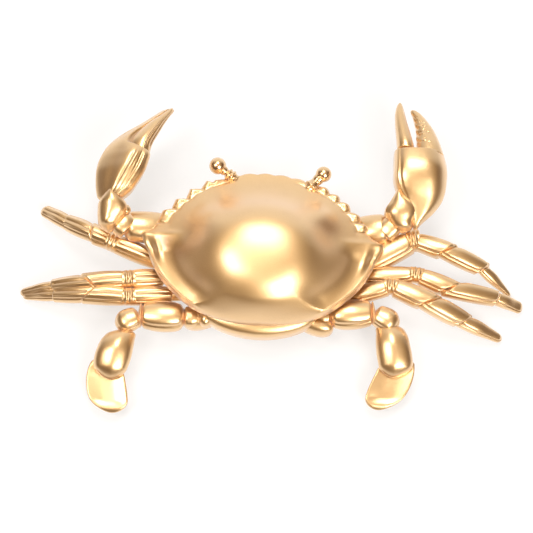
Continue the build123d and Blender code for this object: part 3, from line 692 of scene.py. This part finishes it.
# %% Between two edges
def between_edges(node, side, table, power=2.3, ridges=(), blunt=(1.0, 1.0), rows=90, columns=96,
                  hollow=0.0, shear=0.0, carve=None):
    """A shell whose ring at each y runs from the inner edge, angle 0, to the outer one. Table rows are shares
    of the node's box: y, inner x, outer x, height of the middle and half depth. The ends are rounded over
    the blunt lengths, in millimetres, and a hollow in millimetres dishes the top and fades towards them."""
    low, high = boxes[node]
    width, length, depth = high - low
    origin = (low[1], low[0], low[0], low[2], 0)
    table = np.array(table, float) * (length, width, width, depth, depth) + origin
    share = crowded(rows)
    span = table[-1, 0] - table[0, 0]
    stations = np.column_stack([(table[:, 0] - table[0, 0]) / span, table[:, 1:]])
    inner, outer, middle, half_depth = smooth(stations, share).T
    size = np.ones(rows)
    dish = np.full(rows, hollow)
    rim_width, rim_slope = 0.8, 5.2
    for distance, rounded in zip((share * abs(span), (1 - share) * abs(span)), blunt):
        size *= rounding(distance + 0.01, rounded)
        dish *= ease(distance, rim_width, rim_width + rim_slope)
    path = np.stack([(outer + inner) / 2, table[0, 0] + span * share, middle], axis=-1)
    front = np.array([-side, 0, 0])
    half_width = abs(inner - outer) / 2 * size
    return skin(path, share, half_width, half_depth * size, front, skyward, power, ridges, columns,
                hollow=dish if hollow else None, shear=shear, carve=carve)


# %% [markdown]
# ## Paddle legs
# The last pair ends in paddles: a pebble at the hip, a ring, a pillow-like upper leg with a bead at its end,
# a knuckle, an egg-shaped palm with a keel, and a shallow dish with a thin rim.

# %% Paddle legs
stone_sections = ((0, 0.8, 0.7), (0.5, 1.0, 0.85), (1, 0.8, 0.7))
pillow_sections = ((0, 0.74, 0.66), (0.2, 0.95, 0.84), (0.5, 1.04, 0.90), (0.8, 0.94, 0.80), (1, 0.78, 0.70))
pillow_overlap, bead_overlap, bead_reach, bead_width, knuckle_gap = 1.2, 1.3, 1.1, 0.84, 0.2
palm_keel = ((84, 84, 18, 0.05, -0.2, 1.2),)
# The height of the middle and the half depth along a palm and along a dish, the same on both sides.
palm_heights = ((0.55, 0.15), (0.57, 0.24), (0.60, 0.31), (0.60, 0.35), (0.56, 0.34), (0.51, 0.31),
                (0.46, 0.27), (0.43, 0.22))
dish_heights = ((0.30, 0.10), (0.30, 0.125), (0.28, 0.135), (0.25, 0.135), (0.21, 0.135), (0.17, 0.13),
                (0.14, 0.12), (0.12, 0.10))


def paddle_leg(node, side, joints, widths, palm, dish):
    """Shells of a paddle leg, hip to dish. The joints are the ends of the hip pebble, the ring, the pillow
    and the knuckle. Widths are in girths of a walking leg. Palm and dish: y, inner x and outer x."""
    root, hip_end, ring_start, ring_end, pillow_end, knuckle_end = spot(node, joints)
    hip, ring, pillow, knuckle = np.array(widths) * girth
    along = unit(pillow_end - ring_end)
    return [
        segment(side, root, hip_end, hip, stone_sections, blunt=(0.9, 0.9)),
        segment(side, ring_start, ring_end, ring, stone_sections, power=2.4, blunt=(0.3, 0.3),
                lips=(0, 0.05)),
        segment(side, ring_end - along * pillow_overlap, pillow_end, pillow, pillow_sections, power=2.1,
                blunt=(0.40, 0.30), rows=64, columns=120, carve=cushion(84, 58, 0.02, 0.97, 0.05)),
        segment(side, pillow_end - along * bead_overlap, pillow_end + along * bead_reach, pillow * bead_width,
                ((0, 1, 0.92), (1, 1, 0.92)), blunt=(0.25, 0.25), rows=24),
        segment(side, pillow_end + along * knuckle_gap, knuckle_end, knuckle, stone_sections,
                blunt=(0.4, 0.8), rows=64, columns=120, carve=cushion(90, 56, 0.04, 0.92, 0.06)),
        between_edges(node, side, np.hstack([palm, palm_heights]), power=2.0, blunt=(3.0, 5.0), columns=120,
                      ridges=palm_keel),
        between_edges(node, side, np.hstack([dish, dish_heights]), power=4.2, blunt=(2.2, 6.0), columns=140,
                      hollow=1.3),
    ]


# %% Two paddle legs
left_palm = ((0.770, 0.325, 0.190), (0.725, 0.345, 0.120), (0.66, 0.342, 0.070), (0.57, 0.335, 0.037),
             (0.48, 0.322, 0.020), (0.40, 0.300, 0.025), (0.34, 0.280, 0.050), (0.295, 0.260, 0.070))
left_dish = ((0.50, 0.10, 0.008), (0.43, 0.240, -0.020), (0.345, 0.275, -0.036), (0.25, 0.298, -0.034),
             (0.16, 0.315, -0.015), (0.085, 0.322, 0.020), (0.03, 0.318, 0.055), (0.004, 0.310, 0.075))
right_palm = ((0.835, 0.715, 0.850), (0.79, 0.668, 0.900), (0.72, 0.662, 0.940), (0.62, 0.662, 0.965),
              (0.52, 0.672, 0.985), (0.43, 0.690, 0.990), (0.36, 0.705, 0.965), (0.31, 0.725, 0.930))
right_dish = ((0.50, 0.90, 1.010), (0.42, 0.715, 1.015), (0.34, 0.668, 1.008), (0.25, 0.630, 0.985),
              (0.16, 0.600, 0.945), (0.09, 0.585, 0.895), (0.035, 0.580, 0.850), (0.006, 0.585, 0.825))
paddle_legs = {
    "left_swimming_leg": (
        -1, ((0.985, 0.885, 0.72), (0.850, 0.905, 0.72), (0.865, 0.920, 0.56), (0.725, 0.905, 0.58),
             (0.372, 0.898, 0.64), (0.175, 0.785, 0.63)),
        (1.04, 1.30, 1.78, 1.40), left_palm, left_dish),
    "right_swimming_leg": (
        1, ((0.01, 0.83, 0.72), (0.150, 0.865, 0.72), (0.13, 0.87, 0.56), (0.27, 0.880, 0.58),
            (0.635, 0.920, 0.64), (0.860, 0.800, 0.63)),
        (1.04, 1.24, 1.74, 1.46), right_palm, right_dish),
}
for node, (side, joints, widths, palm, dish) in paddle_legs.items():
    make_piece(node, paddle_leg(node, side, joints, widths, palm, dish))

# %% [markdown]
# ## Claws
# A claw is an arm with a ring and a pointed wrist, a palm that runs on into the outer finger, and the upper
# finger on top. The left palm has two carved cords that run up to the finger. The right palm is boxy inside
# and round outside, and its fixed finger has small teeth and casting bumps.

# %% Left claw
arm_sections = ((0, 0.84, 0.66), (0.25, 0.98, 0.78), (0.6, 1.0, 0.82), (1, 0.88, 0.74))
collar_sections = ((0, 0.94, 0.74), (0.5, 1.0, 0.80), (1, 0.94, 0.74))
arm_width = 1.92


def arm_and_ring(side, joints, bow, ring_width):
    """The upper arm, and the short boxy ring between it and the wrist. Widths are shares of the girth."""
    arm_start, arm_end, ring_start, ring_end = joints
    return [segment(side, arm_start, arm_end, girth * arm_width, arm_sections, bow=bow, blunt=(0.4, 0.5),
                    columns=88),
            segment(side, ring_start, ring_end, girth * ring_width, collar_sections, power=2.6,
                    blunt=(0.2, 0.2), columns=80)]


*arm_joints, knob_start, knob_end = spot("left_claw_arm", (
    (0.98, 0.33, 0.22), (0.30, 0.24, 0.50), (0.385, 0.10, 0.55), (0.245, 0.31, 0.62), (0.31, 0.60, 0.74),
    (0.40, 0.60, 0.78)))
left_wrist = between_edges("left_claw_arm", -1, (
    (-0.06, 0.170, 0.080, 0.60, 0.12), (0.08, 0.235, 0.010, 0.66, 0.19), (0.33, 0.310, -0.024, 0.72, 0.22),
    (0.53, 0.362, -0.030, 0.76, 0.23), (0.72, 0.352, -0.026, 0.80, 0.23), (0.90, 0.290, 0.020, 0.83, 0.21),
    (1.08, 0.195, 0.080, 0.85, 0.17), (1.22, 0.145, 0.115, 0.86, 0.12)), power=2.0, blunt=(3.0, 1.6),
    ridges=((95, 95, 16, 0.05, 0, 1),))
left_knob = segment(-1, knob_start, knob_end, girth * 0.66, stone_sections, blunt=(0.9, 0.9))
make_piece("left_claw_arm", arm_and_ring(-1, arm_joints, 0.06, 1.52) + [left_knob, left_wrist])
seat_line, seat_lean, seat_edge, seat_step = 0.535, 0.0012, 0.008, 0.22


def finger_seat(along, degrees):
    """The upper finger's seat: past a slanting line the palm's top steps down, between two soft sides."""
    line = seat_line + (degrees - 75) * seat_lean
    step = ease(along, line - seat_edge, line + seat_edge)
    return -seat_step * step * ease(degrees, 18, 30) * (1 - ease(degrees, 100, 114))


left_hand = between_edges("left_claw_hand", -1, (
    (-0.03, 0.325, 0.058, 0.32, 0.235), (0.075, 0.525, 0.010, 0.40, 0.415),
    (0.18, 0.630, -0.010, 0.457, 0.47), (0.288, 0.711, -0.013, 0.498, 0.496),
    (0.372, 0.743, 0.006, 0.498, 0.496), (0.448, 0.763, 0.045, 0.50, 0.49),
    (0.525, 0.735, 0.097, 0.48, 0.45), (0.639, 0.68, 0.228, 0.43, 0.36),
    (0.723, 0.735, 0.370, 0.395, 0.29), (0.807, 0.83, 0.550, 0.37, 0.24),
    (0.905, 0.97, 0.743, 0.355, 0.20), (0.975, 1.075, 0.870, 0.34, 0.165),
    (1.01, 1.12, 0.930, 0.335, 0.14)),
    power=(2.5, 1.45), shear=0.37, ridges=((126, 120, 20, -0.06, 0.02, 0.60),
        (106, 58, 4, -0.05, 0.05, 0.52), (99, 51, 4, 0.05, -0.1, 0.52), (77, 46, 4, -0.05, 0.0, 0.52),
        (69, 38, 5, 0.04, -0.1, 0.52), (150, 168, 5, -0.10, 0.62, 0.96), (141, 158, 5, 0.06, 0.62, 1.0)),
    blunt=(2.5, 1.9), rows=190, columns=200, carve=finger_seat)
make_piece("left_claw_hand", [left_hand])
left_finger = between_edges("left_claw_finger", -1, (
    (0.0, 0.50, 0.017, 0.66, 0.42), (0.145, 0.53, 0.0, 0.68, 0.475), (0.26, 0.575, 0.032, 0.68, 0.50),
    (0.36, 0.635, 0.112, 0.66, 0.486), (0.49, 0.715, 0.253, 0.62, 0.44), (0.657, 0.815, 0.458, 0.55, 0.36),
    (0.77, 0.895, 0.640, 0.48, 0.28), (0.88, 0.965, 0.800, 0.42, 0.20), (0.95, 0.995, 0.900, 0.40, 0.15)),
    power=(1.7, 1.9), shear=0.15, blunt=(0.9, 1.6), columns=140,
    ridges=((72, 72, 6, 0.08, -0.1, 1.0), (60, 60, 5, -0.05, 0.1, 1.0), (24, 24, 8, -0.08, 0.1, 1.0)))
make_piece("left_claw_finger", [left_finger])

# %% Right claw
arm_joints = spot("right_claw_arm", (
    (0.015, 0.26, 0.22), (0.62, 0.36, 0.50), (0.50, 0.20, 0.52), (0.655, 0.40, 0.62)))
right_wrist = between_edges("right_claw_arm", 1, (
    (0.225, 0.705, 0.861, 0.62, 0.14), (0.301, 0.633, 0.915, 0.64, 0.19), (0.427, 0.551, 0.940, 0.67, 0.23),
    (0.540, 0.501, 0.984, 0.70, 0.25), (0.679, 0.513, 1.000, 0.73, 0.25), (0.763, 0.557, 0.940, 0.75, 0.24),
    (0.868, 0.604, 0.814, 0.78, 0.21), (0.973, 0.645, 0.733, 0.81, 0.17), (1.057, 0.658, 0.695, 0.83, 0.11)),
    power=2.2, ridges=((28, 28, 6, 0.05, 0, 1),), blunt=(2.0, 1.4))
make_piece("right_claw_arm", arm_and_ring(1, arm_joints, 0.05, 1.30) + [right_wrist])
right_palm_shell = between_edges("right_claw_hand", 1, (
    (-0.144, 0.399, 0.465, 0.22, 0.10), (-0.092, 0.383, 0.545, 0.24, 0.17), (0.0, 0.313, 0.743, 0.28, 0.26),
    (0.116, 0.172, 0.919, 0.35, 0.35), (0.203, 0.055, 0.977, 0.42, 0.42), (0.275, 0.008, 0.995, 0.47, 0.47),
    (0.39, 0.0, 1.004, 0.51, 0.505), (0.505, 0.0, 0.965, 0.50, 0.485), (0.562, 0.008, 0.93, 0.495, 0.46)),
    power=(3.2, 1.7), ridges=((38, 38, 3, 0.02, 0.30, 1.2), (45, 45, 3, -0.03, 0.30, 1.2)), blunt=(2.0, 0.9),
    rows=120, columns=160)
bump_places = np.random.default_rng(7).uniform((0.25, 30), (0.95, 100), (26, 2))
tooth_height, tooth_count, bump_height, pit_height = 0.14, 7, 0.05, -0.06


def teeth_and_bumps(along, degrees):
    """Small teeth down the inner edge, |sin| along it in a bell round 22 degrees, and on top one bump to
    every two pits."""
    teeth = abs(np.sin(along * np.pi * tooth_count)) * ease(along, 0.2, 0.3)
    carving = tooth_height * bell(degrees, 22, 12) * teeth
    for index, (place, angle) in enumerate(bump_places):
        height = pit_height if index % 3 else bump_height
        carving = carving + height * bell(along, place, 0.013) * bell(degrees, angle, 7)
    return carving


right_fixed = between_edges("right_claw_hand", 1, (
    (0.516, 0.4065, 0.946, 0.498, 0.39), (0.6175, 0.422, 0.891, 0.468, 0.366),
    (0.728, 0.426, 0.809, 0.431, 0.305), (0.811, 0.410, 0.727, 0.407, 0.256),
    (0.855, 0.391, 0.672, 0.388, 0.226), (0.927, 0.356, 0.563, 0.364, 0.171),
    (0.962, 0.328, 0.500, 0.352, 0.134), (1.0, 0.313, 0.383, 0.339, 0.085)),
    rows=120, columns=120, carve=teeth_and_bumps)
make_piece("right_claw_hand", [right_palm_shell, right_fixed])
right_finger = between_edges("right_claw_finger", 1, (
    (-0.03, 0.12, 0.948, 0.60, 0.52), (0.06, 0.09, 0.918, 0.587, 0.558),
    (0.323, 0.029, 0.746, 0.525, 0.496), (0.586, -0.011, 0.565, 0.4255, 0.397),
    (0.774, 0.009, 0.464, 0.326, 0.3226), (0.906, 0.09, 0.383, 0.252, 0.236),
    (0.99, 0.19, 0.310, 0.202, 0.149)), power=(2.2, 2.0), blunt=(1.0, 1.6), rows=80,
    ridges=((150, 150, 8, -0.06, 0.1, 0.9),))
make_piece("right_claw_finger", [right_finger])

# %% [markdown]
# ## Bosses and eyes
# Each limb meets the belly on a round boss. The eyes are turned shapes: a collar, a thin stalk and a ball.

# %% Bosses on the belly casting
boss_depth, boss_reach, boss_width, shoulder_width = 1.1, 0.05, 0.82, 1.45
for node, joints in leg_joints.items():
    outward = unit(joints[1] - joints[0]) * girth
    boss_start, boss_end = joints[0] - outward * boss_depth, joints[0] + outward * boss_reach
    belly_shells.append(segment(leg_sides[node], boss_start, boss_end, girth * boss_width, hip_sections,
                                blunt=(0.2, 0.2), rows=20, columns=40))
shoulder_ends = np.array([(32, 14, 13), (42.5, 14.2, 13)])
for side in (-1, 1):
    shoulder_start, shoulder_end = shoulder_ends * (side, 1, 1)
    belly_shells.append(segment(side, shoulder_start, shoulder_end, girth * shoulder_width, hip_sections,
                                blunt=(0.2, 0.2), rows=20, columns=48))
make_piece("underbody", belly_shells, "belly_casting")


# %% Eyes
def eye(node, seat, tip, ball_radius, stalk_radius, collars):
    """A turned shape from the seat to the tip: the radius is a stalk with a bell for each collar, or the
    ball, the root of R^2 - (d - c)^2, where that is larger."""
    seat, tip = np.array(seat, float), np.array(tip, float)
    length = np.linalg.norm(tip - seat)
    heading = (tip - seat) / length
    across = unit(np.cross(heading, skyward))
    along = crowded(110)
    distance = along * length
    stalk = stalk_radius + sum(height * bell(distance, place, width) for place, height, width in collars)
    ball = np.sqrt(np.clip(ball_radius**2 - (distance - length + ball_radius) ** 2, 0.0001, None))
    radius = np.where(distance < length - ball_radius, np.maximum(stalk, ball), ball)
    path = seat + (tip - seat) * along[:, None]
    make_piece(node, [skin(path, along, radius, radius, across, np.cross(across, heading), power=2.0)])


eye("left_eye", *spot("left_eye", ((0.90, 0.16, 0.236), (0.04, 1.04, 0.70))), 4.1, 2.3,
    ((2.6, 0.9, 0.8), (4.6, 0.7, 0.6), (6.0, -0.5, 0.7)))
eye("right_eye", *spot("right_eye", ((0.16, 0.13, 0.23), (1.03, 1.07, 0.67))), 3.8, 2.7,
    ((2.2, 0.8, 0.8), (5.0, -0.4, 0.9)))

# %% [markdown]
# ## Felt and pins
# The felt pad keeps its CAD solid and gets a fibrous brown finish. The steel pins lie hidden in their bores.


# %% Felt and steel
def plain_finish(name, light, dark, roughness, metallic, size):
    """Two tones mixed by noise of the given grain size, with a matching bump."""
    material, shader, place = start_material(name)
    fibres = noise(place, size, 6.0)
    bump = place.node("ShaderNodeBump", {}, {"Strength": 0.6, "Distance": size * 0.3, "Height": fibres})
    connect(shader, {"Base Color": mixed(place, fibres, dark, light), "Normal": bump},
            {"Roughness": roughness, "Metallic": metallic})
    return material


felt = plain_finish("brown felt", (0.26, 0.19, 0.12, 1), (0.10, 0.07, 0.04, 1), 0.95, 0.0, 0.5 * mm)
steel = plain_finish("ground steel", (0.62, 0.62, 0.64, 1), (0.42, 0.42, 0.44, 1), 0.35, 1.0, 0.3 * mm)
kept_nodes = {"base_felt": felt, "claw_dowels": steel, "leg_dowels": steel, "wrist_dowels": steel,
              "finger_dowels": steel}
for name, finish in kept_nodes.items():
    data = frame["nodes"][name].data
    data.materials.clear()
    data.materials.append(finish)
    print(name, "keeps its solid, finish", finish.name)

# %% [markdown]
# ## Floor, lamps and camera
# The ornament stands on a plain white table under three soft boxes. Satin metal shows its surroundings, so
# the world matters as much as the lamps: a pale wall in front of the crab, a dim warm room at its sides and
# behind it. The table is seen as white, by the camera and in the metal alike, and keeps a soft shadow.

# %% Floor
floor_half = 3.0
floor_mesh = bpy.data.meshes.new("table_top")
corners = [(x * floor_half, y * floor_half, 0) for x, y in ((-1, -1), (1, -1), (1, 1), (-1, 1))]
floor_mesh.from_pydata(corners, [], [(0, 1, 2, 3)])
floor = bpy.data.objects.new("table_top", floor_mesh)
bpy.context.scene.collection.objects.link(floor)
floor_material, floor_shader, floor_place = start_material("white table")
connect(floor_shader, {}, {"Base Color": (0.93, 0.93, 0.93, 1), "Roughness": 0.6})
table_glow = 0.62
seen = floor_place.node("ShaderNodeLightPath", output="Is Camera Ray")
for ray in ("Is Glossy Ray", "Is Transmission Ray"):
    seen = seen + floor_place.node("ShaderNodeLightPath", output=ray)
white = floor_place.node("ShaderNodeEmission", {}, {"Color": (1, 1, 1, 1), "Strength": 1.0})
diffuse = Wire(floor_place.tree, floor_shader.outputs[0])
table = floor_place.node("ShaderNodeMixShader", {}, {0: seen.clamp() * table_glow, 1: diffuse, 2: white})
connect(floor_place.tree.nodes["Material Output"], {"Surface": table}, {})
floor_mesh.materials.append(floor_material)
print("floor", floor_half * 2, "m square")

# %% World
world = bpy.data.worlds.new("studio")
bpy.context.scene.world = world
world.use_nodes = True
sky = world.node_tree
background = sky.nodes["Background"]
direction = Wire(sky, sky.nodes.new("ShaderNodeTexCoord").outputs["Generated"])
height = direction.node("ShaderNodeSeparateXYZ", {}, {0: direction}, output=2)
ahead = direction.node("ShaderNodeSeparateXYZ", {}, {0: direction}, output=1)


def sky_band(stops):
    """Colour by height above the horizon: each stop is a place from -1 at the nadir to 1 at the zenith."""
    band = direction.node("ShaderNodeValToRGB", {}, {0: height * 0.5 + 0.5})
    elements = band.socket.node.color_ramp.elements
    while len(elements) < len(stops):
        elements.new(1.0)
    for element, (place, value) in zip(elements, stops):
        element.position = place / 2 + 0.5
        element.color = (*value, 1)
    return band


wall = sky_band(((0.0, (0.95, 0.95, 0.95)), (0.25, (1.0, 1.0, 1.0)), (0.55, (0.98, 0.97, 0.96)),
                 (0.80, (0.70, 0.68, 0.65)), (1.0, (0.62, 0.58, 0.54))))
room = sky_band(((0.0, (0.80, 0.76, 0.74)), (0.08, (0.22, 0.14, 0.08)), (0.25, (0.13, 0.08, 0.04)),
                 (0.50, (0.15, 0.09, 0.05)), (0.74, (0.35, 0.24, 0.12)), (0.90, (0.60, 0.49, 0.38))))
wall_steepness, wall_start = 2.2, 0.75
facing = (ahead * wall_steepness - wall_start).clamp()
connect(background, {"Color": mixed(direction, facing, room, wall)}, {"Strength": 1.0})
print("the wall is in full view from y =", round((1 + wall_start) / wall_steepness, 2))


# %% Lamps
def look_matrix(place, back, roll):
    """Matrix of a camera or lamp at a place, whose back points this way, rolled about its view."""
    right = unit(np.cross(skyward, back))
    up = np.cross(back, right)
    turned_right = np.cos(roll) * right + np.sin(roll) * up
    turned_up = -np.sin(roll) * right + np.cos(roll) * up
    rows = np.stack([turned_right, turned_up, back, place], axis=1)
    return Matrix([*rows.tolist(), [0, 0, 0, 1]])


def soft_box(name, place, target, size, power):
    """A square area lamp that looks at a target."""
    lamp = bpy.data.lights.new(name, "AREA")
    lamp.shape = "SQUARE"
    lamp.size = size
    lamp.energy = power
    holder = bpy.data.objects.new(name, lamp)
    bpy.context.scene.collection.objects.link(holder)
    holder.matrix_world = look_matrix(place, unit(place - np.array(target)), 0.0)
    print(name, "at", [round(v, 2) for v in holder.matrix_world.translation])


box_distance = 1.1
for box_name, box_direction, box_size, box_power in (
        ("front box", (0.0, 0.34, 0.94), 0.44, 4.0), ("left box", (-0.44, -0.15, 0.89), 0.42, 3.8),
        ("rear box", (0.40, -0.60, 0.69), 0.50, 6.6)):
    soft_box(box_name, np.array(box_direction) * box_distance, (0, 0, 0.02), box_size, box_power)

# %% Camera
camera_elevation = np.radians(70.0)
camera_roll = np.radians(3.0)
camera_distance = 600 * mm
camera_target = np.array([2.5, -3.7, 12.0]) * mm
camera_back = np.array([0, -np.cos(camera_elevation), np.sin(camera_elevation)])
camera_data = bpy.data.cameras.new("camera")
camera_data.lens = 85
camera_data.sensor_width = 36
camera = bpy.data.objects.new("camera", camera_data)
bpy.context.scene.collection.objects.link(camera)
camera.matrix_world = look_matrix(camera_target + camera_back * camera_distance, camera_back, camera_roll)
bpy.context.scene.camera = camera
bpy.context.scene.view_settings.view_transform = "Standard"
print("camera at", tuple(round(v, 3) for v in camera.matrix_world.translation))

# %% [markdown]
# ## Sizes
# The sizes of the CAD model are printed.

# %% Sizes of the CAD model
print("cad", [round(v, 4) for v in (*cad_low, *cad_high)])
